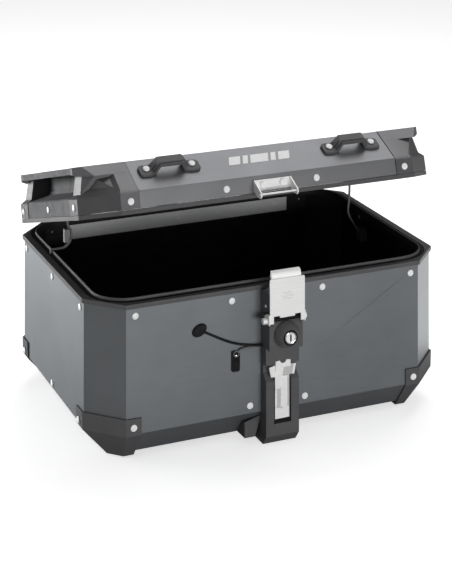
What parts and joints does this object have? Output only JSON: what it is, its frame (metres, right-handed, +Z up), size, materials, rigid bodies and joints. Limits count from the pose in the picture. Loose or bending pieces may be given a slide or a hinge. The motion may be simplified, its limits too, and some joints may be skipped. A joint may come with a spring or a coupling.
{
  "type": "motorcycle top case",
  "caption": "Hard motorcycle luggage case with an octagonal panelled body, riveted corner guards, a hinged lid with tie-down handles and a keyed centre latch.",
  "frame": {"origin": "centre of the underside of the mounting plate, which is the plane the case stands on", "axes": "+X along the case's width, -Y out of the latch side, +Z up"},
  "size_m": [0.5998, 0.476, 0.436],
  "materials": {
    "panel": "dark grey satin anodised sheet with a fine brushed grain",
    "plastic": "dark grey moulded plastic with a fine grain",
    "rubber": "black matt rubber",
    "felt": "black needle felt",
    "cord": "grey braided cord",
    "rivet": "bright steel rivet heads",
    "steel": "satin stainless steel",
    "chrome": "bright plated metal"
  },
  "bodies": {
    "case": {"body_shell": "panel", "rim_frame": "plastic", "corner_guard_front_left": "plastic", "corner_guard_front_right": "plastic", "corner_guard_rear_left": "plastic", "corner_guard_rear_right": "plastic", "mounting_plate": "plastic", "stay_anchor_left": "plastic", "stay_anchor_right": "plastic", "latch_bracket": "plastic", "lock_block": "plastic", "lock_boss": "plastic", "lower_block": "plastic", "rim_gasket": "rubber", "tether_cord": "rubber", "floor_mat": "felt", "tether_clip": "cord", "rivets_front_rim": "rivet", "rivets_front_foot": "rivet", "rivets_rear_rim": "rivet", "rivets_rear_foot": "rivet", "rivets_left_rim": "rivet", "rivets_left_foot": "rivet", "rivets_right_rim": "rivet", "rivets_right_foot": "rivet", "hinge_body_leaf": "steel", "hinge_pin": "steel", "pivot_bolt": "steel"},
    "lid": {"lid_frame": "plastic", "lid_seal": "rubber", "lid_panel": "panel", "lid_end_left": "panel", "lid_end_right": "panel", "lid_cap_front_left": "plastic", "lid_cap_front_right": "plastic", "lid_cap_rear_left": "plastic", "lid_cap_rear_right": "plastic", "lid_rivets_front": "rivet", "lid_rivets_rear": "rivet", "lid_rivets_left": "rivet", "lid_rivets_right": "rivet", "handle_rivets_front": "rivet", "handle_rivets_rear": "rivet", "handle_front_left": "plastic", "handle_front_right": "plastic", "handle_rear_left": "plastic", "handle_rear_right": "plastic", "striker_plate": "steel", "striker_rod": "steel", "hinge_lid_leaf": "steel", "lid_stay_left": "cord", "lid_stay_right": "cord"},
    "latch_lever": {"latch_lever": "steel"},
    "latch_hook": {"latch_hook": "steel"},
    "key_lock": {"lock_cylinder": "chrome", "lock_cam": "chrome"},
    "release_lever": {"release_lever": "chrome"},
    "release_bolt": {"release_bolt": "steel"}
  },
  "joints": [
    {"name": "lid_hinge", "type": "hinge", "parent": "case", "child": "lid", "pos_m": [0, 0.2164, 0.2494], "axis": [-1, 0, 0], "range_deg": [-17.3, 62.7]},
    {"name": "latch_lever_pivot", "type": "hinge", "parent": "case", "child": "latch_lever", "pos_m": [0, -0.2346, 0.195], "axis": [1, 0, 0], "range_deg": [0, 45]},
    {"name": "latch_hook_pivot", "type": "hinge", "parent": "latch_lever", "child": "latch_hook", "pos_m": [0, -0.2366, 0.244], "axis": [1, 0, 0], "range_deg": [-20, 2]},
    {"name": "key_turn", "type": "hinge", "parent": "case", "child": "key_lock", "pos_m": [0, -0.2386, 0.172], "axis": [0, -1, 0], "range_deg": [0, 90]},
    {"name": "release_lever_pivot", "type": "hinge", "parent": "case", "child": "release_lever", "pos_m": [0, -0.2156, 0.043], "axis": [1, 0, 0], "range_deg": [0, 30]},
    {"name": "release_bolt_slide", "type": "slide", "parent": "case", "child": "release_bolt", "axis": [0, -1, 0], "range_m": [0, 0.0082]}
  ],
  "couplings": [
    {"joint": "latch_hook_pivot", "follows": "latch_lever_pivot", "ratio": -0.4},
    {"joint": "release_bolt_slide", "follows": "release_lever_pivot", "m_per_rad": 0.0152}
  ]
}
